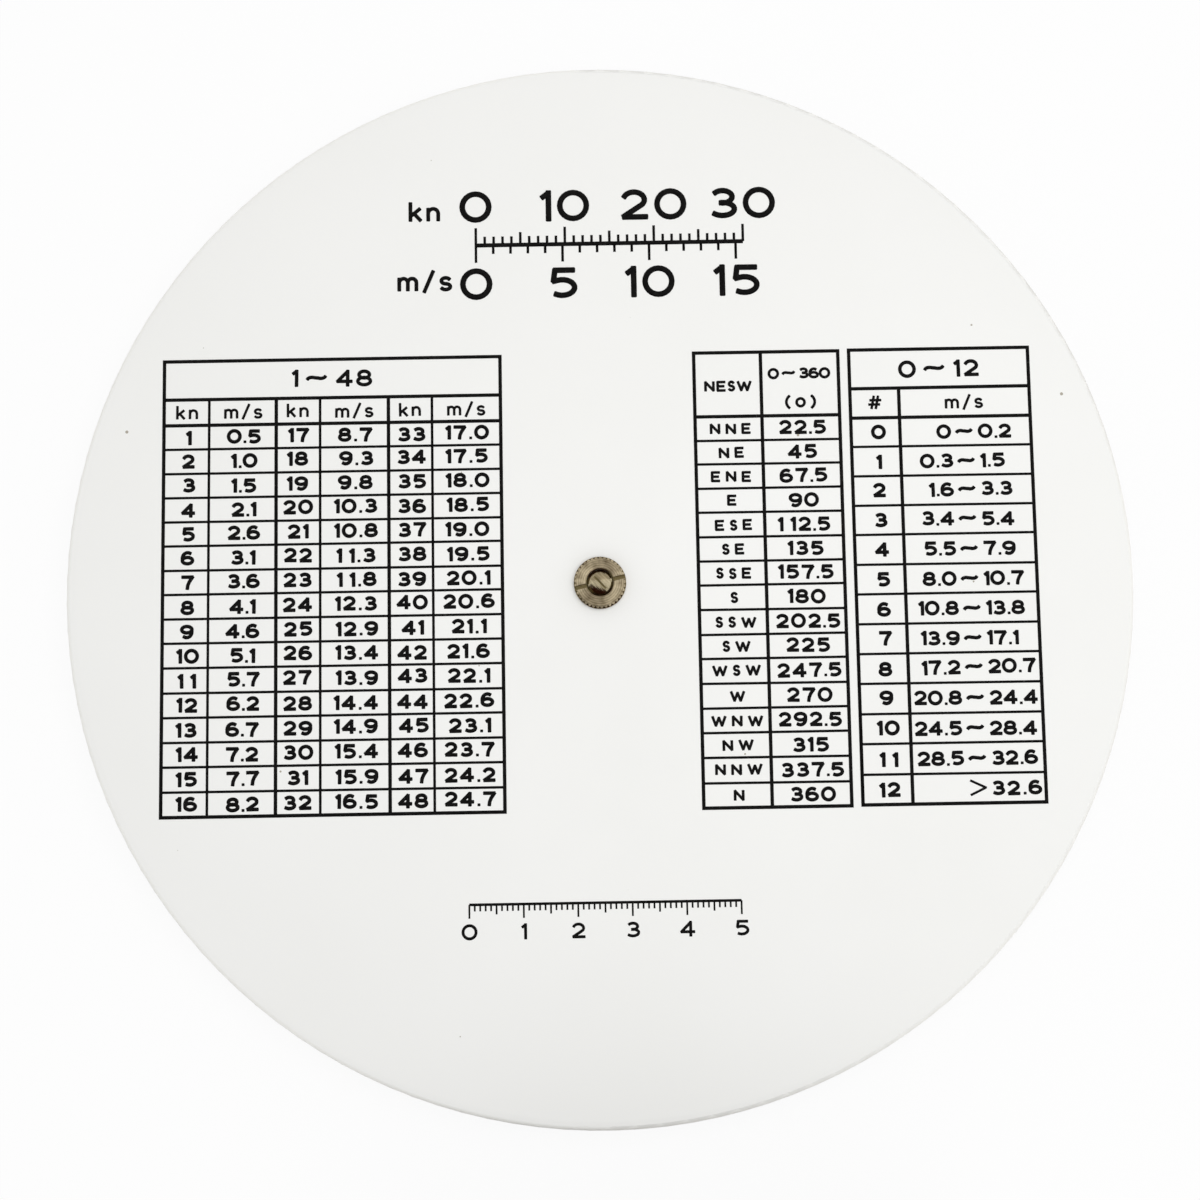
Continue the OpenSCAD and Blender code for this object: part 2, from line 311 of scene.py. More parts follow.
def makeClearAcrylic(d=clearAcrylic):
    material, tree, shader, place = startFinish("clearCastAcrylic")
    handled = addNode(tree, "ShaderNodeTexNoise",
                      {"Vector": place, "Scale": 1 / (d["handledMm"] * mm), "Detail": 6.0})
    rough = addNode(tree, "ShaderNodeMapRange",
                    {"Value": handled, "From Min": d["handledFrom"], "From Max": d["handledTo"],
                     "To Min": d["roughLow"], "To Max": d["roughHigh"]})
    # the edges are what doesn't face along the pivot
    normal = addNode(tree, "ShaderNodeSeparateXYZ", {"Vector": place.node.outputs["Normal"]})
    facing = addNode(tree, "ShaderNodeMath", {0: normal.outputs["Z"]}, operation="ABSOLUTE")
    edge = addNode(tree, "ShaderNodeMath", {0: facing, 1: d["edgeFacing"]}, operation="LESS_THAN")
    milled = addNode(tree, "ShaderNodeMix", {"Factor": edge, "A": rough, "B": d["edgeRough"]})
    feedNode(tree, shader, {"Base Color": linearHex(d["tint"]), "Roughness": milled, "IOR": d["ior"],
                            "Transmission Weight": 1.0})
    return material


# natural nylon sheet: waxy and faintly yellow, with a soft mottle
nylonSheet = {"sheet": "E6E1D0", "mottle": "DAD3BE", "mottleMm": 4, "roughness": 0.5, "ior": 1.53}


def makeNylon(d=nylonSheet):
    material, tree, shader, place = startFinish("naturalNylon")
    mottle = addNode(tree, "ShaderNodeTexNoise",
                     {"Vector": place, "Scale": 1 / (d["mottleMm"] * mm), "Detail": 3.0})
    colour = addNode(tree, "ShaderNodeMix",
                     {"Factor": mottle, "A": linearHex(d["sheet"]), "B": linearHex(d["mottle"])},
                     data_type="RGBA")
    feedNode(tree, shader, {"Base Color": colour, "Roughness": d["roughness"], "IOR": d["ior"]})
    return material


inkOf = {"black_ink": makeInk(blackInk), "red_ink": makeInk(redInk)}
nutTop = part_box("ring_nut")[1].z
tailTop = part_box("pivot_screw")[1].z
finishOf = {"white_pvc": makeWhitePvc(), "clear_acrylic": makeClearAcrylic(), "nylon": makeNylon(),
            "brass": makeTurnedMetal(bareBrass), "spring_steel": makeTurnedMetal(springSteel)}
ownFinish = {"ring_nut": makeTurnedMetal(nutNickel, nutTop),
             "pivot_screw": makeTurnedMetal(screwNickel, tailTop)}
for row in frame["record"]["subparts"]:
    name = row["node"]
    slots = frame["nodes"][name].data.materials
    slots.clear()
    slots.append(ownFinish[name] if name in ownFinish else finishOf[row["material_slot"]])


# Slip washers, in mm: a hair thinner than their place, so that a film of air parts them from the clear discs
slipWasher = {"air": 0.012, "edge": 0.06, "clearance": 0.05, "steps": 120}


def makeSlipWasher(name, node, d=slipWasher):
    low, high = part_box(node)
    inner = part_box("pivot_sleeve")[1].x + d["clearance"] * mm
    outer = high.x
    bottom = low.z + d["air"] * mm
    top = high.z - d["air"] * mm
    edge = d["edge"] * mm
    section = [(inner, bottom), (outer - edge, bottom), (outer, bottom + edge),
               (outer, top - edge), (outer - edge, top), (inner, top)]
    count = len(section)
    spots, faces = [], []
    for i in range(d["steps"]):
        a = 2 * math.pi * i / d["steps"]
        spots += [(r * math.cos(a), r * math.sin(a), z) for r, z in section]
        here = i * count
        ahead = (i + 1) % d["steps"] * count
        for j in range(count):
            k = (j + 1) % count
            faces.append((here + j, ahead + j, ahead + k, here + k))
    mesh = makeMesh(name, spots, [], faces)
    mesh.materials.append(finishOf["nylon"])
    piece = placeObject(name, mesh)
    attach(piece, "base")
    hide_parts(node)


makeSlipWasher("dial_slip_washer", "dial_washer")
makeSlipWasher("cursor_slip_washer", "cursor_washer")
print("slip washers turned")


# Pen: each sign has its width and its strokes, on a cell one unit high.
# A stroke is a list of points and of arcs: centre x, y, radius x, y, first and last angle.
signs = {
    "0": (1.04, [[(0.52, 0.5, 0.52, 0.52, 90, 450)]]),
    "1": (0.24, [[(0.0, 0.84), (0.22, 1.0)], [(0.24, 1.06), (0.24, -0.06)]]),
    "2": (0.9, [[(0.44, 0.69, 0.41, 0.31, 158, -38), (0.03, 0.02)], [(0.03, 0.0), (0.92, 0.0)]]),
    "3": (0.88, [[(0.42, 0.75, 0.38, 0.25, 142, -90)], [(0.42, 0.26, 0.46, 0.26, 95, -138)],
                 [(0.34, 0.51), (0.45, 0.51)]]),
    "4": (1.0, [[(0.74, -0.06), (0.74, 1.03)], [(0.74, 1.0), (0.0, 0.25)], [(0.0, 0.25), (1.02, 0.25)]]),
    "5": (0.9, [[(0.12, 1.0), (0.86, 1.0)], [(0.14, 1.0), (0.08, 0.57)],
                [(0.08, 0.56), (0.42, 0.31, 0.48, 0.31, 110, -124)]]),
    "6": (0.92, [[(0.47, 0.5, 0.47, 0.51, 58, 190)], [(0.46, 0.29, 0.46, 0.29, 90, 450)]]),
    "7": (0.92, [[(0.0, 1.0), (0.92, 1.0)], [(0.92, 1.0), (0.62, 0.56), (0.49, 0.25), (0.45, -0.06)]]),
    "8": (0.92, [[(0.46, 0.75, 0.38, 0.25, 90, 450)], [(0.46, 0.27, 0.46, 0.27, 90, 450)]]),
    "9": (0.92, [[(0.45, 0.5, 0.47, 0.51, 238, 370)], [(0.46, 0.71, 0.46, 0.29, 90, 450)]]),
    ".": (0.1, [[(0.04, -0.02), (0.14, -0.02)]]),
    "~": (2.02, [[(0.64, 0.38, 0.34, 0.19, 165, 60), (1.28, 0.68, 0.34, 0.19, 240, 345)]]),
    "#": (0.9, [[(0.2, 0.0), (0.4, 1.0)], [(0.55, 0.0), (0.75, 1.0)], [(0.0, 0.32), (0.85, 0.32)],
                [(0.1, 0.68), (0.95, 0.68)]]),
    ">": (0.95, [[(0.0, 0.95), (0.95, 0.5)], [(0.95, 0.5), (0.0, 0.05)]]),
    "/": (0.5, [[(0.0, -0.12), (0.5, 1.05)]]),
    "(": (0.26, [[(0.72, 0.5, 0.72, 0.68, 130, 230)]]),
    ")": (0.26, [[(-0.46, 0.5, 0.72, 0.68, 50, -50)]]),
    "o": (0.68, [[(0.34, 0.47, 0.34, 0.34, 90, 450)]]),
    "N": (0.92, [[(0.0, 0.0), (0.0, 1.0)], [(0.0, 1.0), (0.92, 0.0)], [(0.92, 0.0), (0.92, 1.0)]]),
    "E": (0.82, [[(0.0, 0.0), (0.0, 1.0)], [(0.0, 1.0), (0.82, 1.0)], [(0.0, 0.5), (0.7, 0.5)],
                 [(0.0, 0.0), (0.82, 0.0)]]),
    "S": (0.56, [[(0.28, 0.75, 0.26, 0.25, 25, 270), (0.28, 0.25, 0.28, 0.25, 90, -155)]]),
    "W": (1.44, [[(0.0, 1.0), (0.37, 0.0)], [(0.37, 0.0), (0.72, 0.9)], [(0.72, 0.9), (1.07, 0.0)],
                 [(1.07, 0.0), (1.44, 1.0)]]),
    "k": (0.56, [[(0.0, 0.0), (0.0, 1.0)], [(0.52, 0.66), (0.0, 0.24)], [(0.2, 0.4), (0.56, 0.0)]]),
    "n": (0.56, [[(0.0, 0.0), (0.0, 0.66)], [(0.28, 0.38, 0.28, 0.28, 180, 0), (0.56, 0.0)]]),
    "m": (0.96, [[(0.0, 0.0), (0.0, 0.66)], [(0.24, 0.42, 0.24, 0.24, 180, 0), (0.48, 0.0)],
                 [(0.72, 0.42, 0.24, 0.24, 180, 0), (0.96, 0.0)]]),
    "s": (0.52, [[(0.26, 0.5, 0.24, 0.17, 30, 270), (0.26, 0.165, 0.26, 0.165, 90, -150)]]),
}
arcStep = 15  # degrees between the points of an arc
penEnd = {"shoulder": 0.2, "tip": 0.32, "tipNib": 0.66, "closing": 0.01}  # shares of the nib
# gaps are shares of the height: two ones stand further apart, and a point has a finer nib
lettering = {"gap": 0.44, "onesApart": 0.42, "dotNib": 0.78, "leanDegrees": 6, "drop": 0.4}


def tracePath(path):
    points = []
    for step in path:
        if len(step) == 2:
            points.append(step)
            continue
        x, y, radiusX, radiusY, first, last = step
        count = round(abs(last - first) / arcStep)
        for i in range(count + 1):
            a = math.radians(first + (last - first) * i / count)
            points.append((x + radiusX * math.cos(a), y + radiusY * math.sin(a)))
    return points


# an added stroke holds its points in mm, the nib at each point, and whether it closes on itself
def addStroke(strokes, points, nib, softEnds=True):
    points = [Vector(p) for p in points]
    closed = len(points) > 3 and (points[0] - points[-1]).length < nib * penEnd["closing"]
    if closed:
        points.pop()
    nibs = [nib] * len(points)
    if softEnds and not closed:
        out = (points[-1] - points[-2]).normalized() * nib
        back = (points[0] - points[1]).normalized() * nib
        points = [points[0] + back * penEnd["tip"], points[0] + back * penEnd["shoulder"]] + points
        points += [points[-1] + out * penEnd["shoulder"], points[-1] + out * penEnd["tip"]]
        nibs = [nib * penEnd["tipNib"], nib] + nibs + [nib, nib * penEnd["tipNib"]]
    strokes.append((points, nibs, closed))


def gapAfter(text, i, gap, dotGap):
    pair = text[i:i + 2]
    if "." in pair:
        return dotGap
    return gap + lettering["onesApart"] if pair == "11" else gap


def textWidth(text, gap, dotGap):
    gaps = sum(gapAfter(text, i, gap, dotGap) for i in range(len(text) - 1))
    return sum(signs[c][0] for c in text) + gaps


# loose is how far, in mm, the hand that laid the text may stray; lean and drop grow with it
def addText(strokes, text, x, y, height, nib, gap=lettering["gap"], dotGap=lettering["gap"],
            turn=0.0, loose=0.0):
    lean = dice.uniform(-lettering["leanDegrees"], lettering["leanDegrees"]) * loose
    spin = Matrix.Rotation(math.radians(turn + lean), 2)
    place = Vector((x + dice.uniform(-1, 1) * loose, y + dice.uniform(-1, 1) * loose))
    pen = -textWidth(text, gap, dotGap) / 2
    for i, c in enumerate(text):
        signWidth, paths = signs[c]
        signNib = nib * lettering["dotNib"] if c == "." else nib
        drop = dice.uniform(-lettering["drop"], lettering["drop"]) * loose
        for path in paths:
            cell = [Vector((pen + px, py - 0.5)) * height + Vector((0, drop)) for px, py in tracePath(path)]
            addStroke(strokes, [place + spin @ p for p in cell], signNib)
        pen += signWidth + gapAfter(text, i, gap, dotGap)


def addRule(strokes, start, end, nib):
    addStroke(strokes, [start, end], nib, softEnds=False)


def addCircle(strokes, radius, nib, count=180):
    turns = [2 * math.pi * i / count for i in range(count + 1)]
    addStroke(strokes, [(radius * math.sin(a), radius * math.cos(a)) for a in turns], nib)


# Geometry nodes: a nib that follows every stroke, and a ring of graduations

inkFilm = {"share": 0.06, "lift": 0.006}  # film thickness as a share of the nib; height of its middle in mm


def startTree(name, inputs):
    tree = bpy.data.node_groups.new(name, "GeometryNodeTree")
    for socket, kind in inputs.items():
        tree.interface.new_socket(socket, in_out="INPUT", socket_type="NodeSocket" + kind)
    tree.interface.new_socket("Geometry", in_out="OUTPUT", socket_type="NodeSocketGeometry")
    return tree, addNode(tree, "NodeGroupInput").outputs


def endTree(tree, geometry, ink):
    real = addNode(tree, "GeometryNodeRealizeInstances", {"Geometry": geometry})
    inked = addNode(tree, "GeometryNodeSetMaterial", {"Geometry": real, "Material": ink})
    addNode(tree, "NodeGroupOutput", {"Geometry": inked})
    return tree


def makePenTree():
    tree, given = startTree("penNib", {"Geometry": "Geometry", "Film Share": "Float", "Ink": "Material"})
    lines = addNode(tree, "GeometryNodeMeshToCurve", {"Mesh": given["Geometry"]})
    level = addNode(tree, "GeometryNodeSetCurveNormal", {"Curve": lines}, mode="Z_UP")
    nib = addNode(tree, "GeometryNodeInputNamedAttribute", {"Name": "nib"})
    film = addNode(tree, "GeometryNodeCurvePrimitiveQuadrilateral",
                   {"Width": 1.0, "Height": given["Film Share"]})
    ribbon = addNode(tree, "GeometryNodeCurveToMesh",
                     {"Curve": level, "Profile Curve": film, "Scale": nib, "Fill Caps": True})
    island = addNode(tree, "GeometryNodeInputMeshIsland")
    each = addNode(tree, "GeometryNodeSplitToInstances",
                   {"Geometry": ribbon, "Group ID": island}, domain="FACE")
    # the strokes run together into one film
    joined = addNode(tree, "GeometryNodeMeshBoolean", {"Mesh": each}, operation="UNION", solver="MANIFOLD")
    return endTree(tree, joined, given["Ink"])


def makeGraduationTree():
    tree, given = startTree("graduatedRing", {
        "Radius": "Float", "Count": "Int", "Mid Every": "Int", "Long Every": "Int",
        "Short": "Float", "Mid": "Float", "Long": "Float",
        "Nib": "Float", "Film": "Float", "Level": "Float", "Ink": "Material"})
    index = addNode(tree, "GeometryNodeInputIndex")
    share = addNode(tree, "ShaderNodeMath", {0: index, 1: given["Count"]}, operation="DIVIDE")
    angle = addNode(tree, "ShaderNodeMath", {0: share, 1: 2 * math.pi}, operation="MULTIPLY")
    sine = addNode(tree, "ShaderNodeMath", {0: angle}, operation="SINE")
    cosine = addNode(tree, "ShaderNodeMath", {0: angle}, operation="COSINE")
    across = addNode(tree, "ShaderNodeMath", {0: sine, 1: given["Radius"]}, operation="MULTIPLY")
    along = addNode(tree, "ShaderNodeMath", {0: cosine, 1: given["Radius"]}, operation="MULTIPLY")
    spot = addNode(tree, "ShaderNodeCombineXYZ", {"X": across, "Y": along, "Z": given["Level"]})
    points = addNode(tree, "GeometryNodePoints", {"Count": given["Count"], "Position": spot})
    longStep = addNode(tree, "ShaderNodeMath", {0: index, 1: given["Long Every"]}, operation="MODULO")
    midStep = addNode(tree, "ShaderNodeMath", {0: index, 1: given["Mid Every"]}, operation="MODULO")
    shortOrMid = addNode(tree, "GeometryNodeSwitch",
                         {"Switch": midStep, "False": given["Mid"], "True": given["Short"]},
                         input_type="FLOAT")
    length = addNode(tree, "GeometryNodeSwitch",
                     {"Switch": longStep, "False": given["Long"], "True": shortOrMid}, input_type="FLOAT")
    # one tick, a unit long, that runs in from the ring
    size = addNode(tree, "ShaderNodeCombineXYZ", {"X": given["Nib"], "Y": 1.0, "Z": given["Film"]})
    bar = addNode(tree, "GeometryNodeMeshCube", {"Size": size})
    tick = addNode(tree, "GeometryNodeTransform", {"Geometry": bar, "Translation": (0, -0.5, 0)})
    back = addNode(tree, "ShaderNodeMath", {0: angle, 1: -1.0}, operation="MULTIPLY")
    aim = addNode(tree, "ShaderNodeCombineXYZ", {"Z": back})
    aimed = addNode(tree, "FunctionNodeEulerToRotation", {"Euler": aim})
    stretch = addNode(tree, "ShaderNodeCombineXYZ", {"X": 1.0, "Y": length, "Z": 1.0})
    ticks = addNode(tree, "GeometryNodeInstanceOnPoints",
                    {"Points": points, "Instance": tick, "Rotation": aimed, "Scale": stretch})
    return endTree(tree, ticks, given["Ink"])


penTree = makePenTree()
graduationTree = makeGraduationTree()


def growPiece(name, mesh, tree, values, body, slot):
    piece = placeObject(name, mesh)
    grow = piece.modifiers.new("grow", "NODES")
    grow.node_group = tree
    values["Ink"] = inkOf[slot]
    for item in tree.interface.items_tree:
        if item.in_out == "INPUT" and item.name in values:
            grow[item.identifier] = values[item.name]
    view = bpy.context.evaluated_depsgraph_get()
    grown = bpy.data.meshes.new_from_object(piece.evaluated_get(view))
    piece.modifiers.remove(grow)
    piece.data = grown
    grown.name = name
    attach(piece, body)
    print(name, len(grown.polygons), "faces")


# flip is -1 on the scale side, which is read from below
def inkPiece(name, strokes, level, flip, body, slot):
    spots, joints, nibs = [], [], []
    for points, widths, closed in strokes:
        first = len(spots)
        spots += [(flip * p.x * mm, p.y * mm, level) for p in points]
        nibs += [w * mm for w in widths]
        joints += [(i, i + 1) for i in range(first, len(spots) - 1)]
        if closed:
            joints.append((len(spots) - 1, first))
    mesh = makeMesh(name, spots, joints, [])
    mesh.attributes.new("nib", "FLOAT", "POINT").data.foreach_set("value", nibs)
    growPiece(name, mesh, penTree, {"Film Share": inkFilm["share"]}, body, slot)


# a ring's lengths are decimals, in mm, and its counts are whole numbers
def tickPiece(name, ring, level, body, slot):
    values = {key: value * mm if isinstance(value, float) else value for key, value in ring.items()}
    values.update({"Level": level, "Film": ring["Nib"] * inkFilm["share"] * mm})
    growPiece(name, bpy.data.meshes.new(name), graduationTree, values, body, slot)


# Print of the table side, in mm from the pivot

faceZ = baseHigh.z + inkFilm["lift"] * mm
digits = {"height": 2.07, "nib": 0.69, "gap": 0.48, "dotGap": 0.46, "loose": 0.13}
rules = {"frame": 0.66, "row": 0.48, "column": 0.5, "loose": 0.06}


def addTable(strokes, d, rows, left, right, bars):
    half = rules["frame"] / 2
    bottom = d["firstRow"] - rows * d["rowPitch"]
    for x in (left, right):
        addRule(strokes, (x, d["top"] + half), (x, bottom - half), rules["frame"])
    for y in (d["top"], bottom):
        addRule(strokes, (left, y), (right, y), rules["frame"])
    for x, high, nib in bars:
        addRule(strokes, (x, high), (x, bottom), nib)
    lines = [(d[edge], rules["frame"]) for edge in ("headBottom", "firstRow") if edge in d]
    lines += [(d["firstRow"] - i * d["rowPitch"], rules["row"]) for i in range(1, rows)]
    for y, nib in lines:
        level = y + dice.uniform(-1, 1) * rules["loose"]
        addRule(strokes, (left, level), (right, level + dice.uniform(-1, 1) * rules["loose"]), nib)


def addCell(strokes, text, x, y, height=digits["height"], nib=digits["nib"], gap=digits["gap"],
            dotGap=digits["dotGap"]):
    addText(strokes, text, x, y, height, nib, gap, dotGap, loose=digits["loose"])


# knots against metres per second, in three pairs of columns
speedTable = {"left": -81.82, "top": 43.53, "headBottom": 36.18, "firstRow": 31.21, "rowPitch": 4.587,
              "rows": 16, "pairPitch": 21.19, "narrow": (8.53, 8.28, 8.23),
              "shift": (0.35, 0.17, -0.04, 0.24, 0.23, 0.08), "lift": (0.0, 0.13, 0.1),
              "dotGap": (0.37, 0.45, 0.46), "unitHeight": 2.3, "unitNib": 0.5,
              "head": "1~48", "headHeight": 2.6}
knot = 0.5144  # metres per second


def printSpeedTable(d=speedTable):
    strokes = []
    pairs = len(d["narrow"])
    lefts = [d["left"] + i * d["pairPitch"] for i in range(pairs + 1)]
    bars = [(x, d["headBottom"], rules["frame"]) for x in lefts[1:-1]]
    bars += [(x + width, d["headBottom"], rules["column"]) for x, width in zip(lefts, d["narrow"])]
    addTable(strokes, d, d["rows"], lefts[0], lefts[-1], bars)
    headY = (d["top"] + d["headBottom"]) / 2
    unitY = (d["headBottom"] + d["firstRow"]) / 2
    addCell(strokes, d["head"], (lefts[0] + lefts[-1]) / 2, headY, d["headHeight"])
    for i in range(pairs):
        middleA = lefts[i] + d["narrow"][i] / 2
        middleB = (lefts[i] + d["narrow"][i] + lefts[i + 1]) / 2
        addCell(strokes, "kn", middleA, unitY, d["unitHeight"], d["unitNib"])
        addCell(strokes, "m/s", middleB, unitY, d["unitHeight"], d["unitNib"])
        for j in range(d["rows"]):
            speed = i * d["rows"] + j + 1
            y = d["firstRow"] - (j + 0.5) * d["rowPitch"] + d["lift"][i]
            addCell(strokes, str(speed), middleA + d["shift"][2 * i], y)
            addCell(strokes, f"{speed * knot:.1f}", middleB + d["shift"][2 * i + 1], y, dotGap=d["dotGap"][i])
    inkPiece("speed_table", strokes, faceZ, 1, "base", "black_ink")


# compass points against degrees
bearingTable = {"left": 18.48, "middle": 31.13, "right": 45.82, "top": 43.55, "firstRow": 31.27,
                "rowPitch": 4.587, "letterHeight": 1.62, "letterNib": 0.53, "letterGap": 0.92,
                "head": "NESW", "headGap": 0.5, "headY": 36.95,
                "span": "0~360", "spanHeight": 1.6, "spanNib": 0.55, "spanGap": 0.3, "spanY": 39.3,
                "unitHeight": 2.2, "unitNib": 0.54, "unitGap": 0.62, "unitY": 33.8,
                "degreeNib": 0.66, "dotGap": 0.36, "shift": (0.34, 0.11)}
compass = ["N", "NNE", "NE", "ENE", "E", "ESE", "SE", "SSE", "S", "SSW", "SW", "WSW", "W", "WNW", "NW", "NNW"]


def printBearingTable(d=bearingTable):
    strokes = []
    count = len(compass)
    addTable(strokes, d, count, d["left"], d["right"], [(d["middle"], d["top"], rules["frame"])])
    middleA = (d["left"] + d["middle"]) / 2
    middleB = (d["middle"] + d["right"]) / 2
    addCell(strokes, d["head"], middleA, d["headY"], d["letterHeight"], d["letterNib"], d["headGap"])
    addCell(strokes, d["span"], middleB, d["spanY"], d["spanHeight"], d["spanNib"], d["spanGap"])
    addCell(strokes, "(o)", middleB, d["unitY"], d["unitHeight"], d["unitNib"], d["unitGap"])
    for i in range(1, count + 1):
        y = d["firstRow"] - (i - 0.5) * d["rowPitch"]
        addCell(strokes, compass[i % count], middleA + d["shift"][0], y,
                d["letterHeight"], d["letterNib"], d["letterGap"])
        addCell(strokes, f"{i * 360 / count:g}", middleB + d["shift"][1], y,
                nib=d["degreeNib"], dotGap=d["dotGap"])
    inkPiece("bearing_table", strokes, faceZ, 1, "base", "black_ink")


# wind force against metres per second; a force ends at factor (force + 0.5) ^ power, cut to a tenth
forceTable = {"left": 47.89, "middle": 57.12, "right": 81.82, "top": 43.63, "headBottom": 36.13,
              "firstRow": 30.57, "rowPitch": 5.584, "strongest": 12, "factor": 0.836, "power": 1.5,
              "unitHeight": 2.3, "unitNib": 0.5, "gap": 0.36, "rangeNib": 0.66, "shift": (0.46, -0.1),
              "lastShift": 6.9, "overShift": -0.1, "overHeight": 2.9, "overNib": 0.46,
              "head": "0~12", "headHeight": 2.6}


def printForceTable(d=forceTable):
    strokes = []
    bars = [(d["middle"], d["headBottom"], rules["frame"])]
    addTable(strokes, d, d["strongest"] + 1, d["left"], d["right"], bars)
    middleA = (d["left"] + d["middle"]) / 2
    middleB = (d["middle"] + d["right"]) / 2
    headY = (d["top"] + d["headBottom"]) / 2
    unitY = (d["headBottom"] + d["firstRow"]) / 2
    addCell(strokes, d["head"], (d["left"] + d["right"]) / 2, headY, d["headHeight"])
    addCell(strokes, "#", middleA, unitY, d["unitHeight"], d["unitNib"])
    addCell(strokes, "m/s", middleB, unitY, d["unitHeight"], d["unitNib"])
    low = 0  # low and high are counted in tenths
    for force in range(d["strongest"] + 1):
        y = d["firstRow"] - (force + 0.5) * d["rowPitch"]
        high = math.floor(d["factor"] * (force + 0.5) ** d["power"] * 10)
        addCell(strokes, str(force), middleA + d["shift"][0], y)
        if force < d["strongest"]:
            first = f"{low / 10:.1f}~" if force else "0~"
            span = f"{first}{high / 10:.1f}"
            # the marks between the two speeds stand under each other
            lead = textWidth(first, d["gap"], d["gap"]) - signs["~"][0] / 2
            back = textWidth(span, d["gap"], d["gap"]) / 2 - lead
            addCell(strokes, span, middleB + d["shift"][1] + back * digits["height"], y,
                    nib=d["rangeNib"], gap=d["gap"], dotGap=d["gap"])
        else:
            addCell(strokes, ">", middleB + d["overShift"], y, d["overHeight"], d["overNib"])
            addCell(strokes, f"{(low - 1) / 10:.1f}", middleB + d["lastShift"], y, nib=d["rangeNib"])
        low = high + 1
    inkPiece("force_table", strokes, faceZ, 1, "base", "black_ink")


# plain straight scales: knots over metres per second at the top, and a short millimetre rule at the bottom
topScale = {"left": -22.6, "y": 65.2, "perKnot": 1.7, "knots": 30, "short": 1.7, "mid": 2.5, "long": 3.4,
            "lineNib": 0.8, "tickNib": 0.5, "height": 4.9, "nib": 1.1, "clear": 1.7,
            "unitHeight": 3.4, "unitNib": 0.75, "unitX": -32.4}
lowScale = {"left": -25.0, "y": -59.0, "length": 50, "short": 1.2, "mid": 1.8, "long": 2.5,
            "lineNib": 0.5, "tickNib": 0.34, "height": 2.3, "nib": 0.55, "clear": 1.3}


# side is 1 for ticks that stand on the line and -1 for ticks that hang from it
def addTicks(strokes, d, places, side, longEvery, midEvery, unit=1):
    numberY = d["y"] + side * (d["long"] + d["clear"] + d["height"] / 2)
    for step, x in enumerate(places):
        numbered = step % longEvery == 0
        reach = d["long"] if numbered else d["mid"] if step % midEvery == 0 else d["short"]
        addRule(strokes, (x, d["y"]), (x, d["y"] + side * reach), d["tickNib"])
        if numbered:
            addText(strokes, str(step // unit), x, numberY, d["height"], d["nib"])


def printStraightScales(top=topScale, low=lowScale):
    strokes = []
    knots = [top["left"] + speed * top["perKnot"] for speed in range(top["knots"] + 1)]
    metres = [top["left"] + speed / knot * top["perKnot"] for speed in range(int(top["knots"] * knot) + 1)]
    addRule(strokes, (top["left"], top["y"]), (knots[-1], top["y"]), top["lineNib"])
    addTicks(strokes, top, knots, 1, longEvery=10, midEvery=5)
    addTicks(strokes, top, metres, -1, longEvery=5, midEvery=5)
    unitRise = top["long"] + top["clear"] + top["unitHeight"] / 2
    addText(strokes, "kn", top["unitX"], top["y"] + unitRise, top["unitHeight"], top["unitNib"])
    addText(strokes, "m/s", top["unitX"], top["y"] - unitRise, top["unitHeight"], top["unitNib"])
    millimetres = [low["left"] + step for step in range(low["length"] + 1)]
    addRule(strokes, (low["left"], low["y"]), (millimetres[-1], low["y"]), low["lineNib"])
    addTicks(strokes, low, millimetres, -1, longEvery=10, midEvery=5, unit=10)
    inkPiece("straight_scales", strokes, faceZ, 1, "base", "black_ink")


printSpeedTable()
printBearingTable()
printForceTable()
printStraightScales()
print("table side printed")


# Print of the scale side, which is read from below

# degree ring of the base, outside the dial
baseRing = {"Radius": rimR / mm - 1.6, "Count": 360, "Mid Every": 5, "Long Every": 10,
            "Short": 1.8, "Mid": 2.6, "Long": 3.6, "Nib": 0.2}
baseNumbers = {"step": 10, "radius": 91.2, "height": 2.5, "nib": 0.42, "lineNib": 0.3}
frontZ = baseLow.z - inkFilm["lift"] * mm


def addRingNumbers(strokes, d):
    for degrees in range(0, 360, d["step"]):
        a = math.radians(degrees)
        addText(strokes, str(degrees), d["radius"] * math.sin(a), d["radius"] * math.cos(a),
                d["height"], d["nib"], turn=-degrees)


def printBaseRing():
    tickPiece("base_degree_ticks", baseRing, frontZ, "base", "black_ink")
    strokes = []
    addCircle(strokes, baseRing["Radius"], baseNumbers["lineNib"])
    addRingNumbers(strokes, baseNumbers)
    inkPiece("base_degree_numbers", strokes, frontZ, -1, "base", "black_ink")


# degree ring and plotting net of the dial, on its back so that it is read through the clear sheet
dialRing = {"Radius": dialR / mm - 0.3, "Count": 360, "Mid Every": 5, "Long Every": 10,
            "Short": 2.0, "Mid": 2.8, "Long": 3.8, "Nib": 0.2}
dialNumbers = {"step": 10, "radius": 77.6, "height": 2.3, "nib": 0.4}
dialNet = {"inner": 15, "step": 10, "outer": 75, "spokes": 36, "circleNib": 0.22, "spokeNib": 0.16}
dialBackZ = dialHigh.z + inkFilm["lift"] * mm


def printDial(d=dialNet):
    tickPiece("dial_degree_ticks", dialRing, dialBackZ, "dial", "black_ink")
    strokes = []
    addRingNumbers(strokes, dialNumbers)
    for radius in range(d["inner"], d["outer"] + 1, d["step"]):
        addCircle(strokes, radius, d["circleNib"])
    for i in range(d["spokes"]):
        a = 2 * math.pi * i / d["spokes"]
        aim = Vector((math.sin(a), math.cos(a)))
        addRule(strokes, aim * d["inner"], aim * d["outer"], d["spokeNib"])
    inkPiece("dial_net", strokes, dialBackZ, -1, "dial", "black_ink")


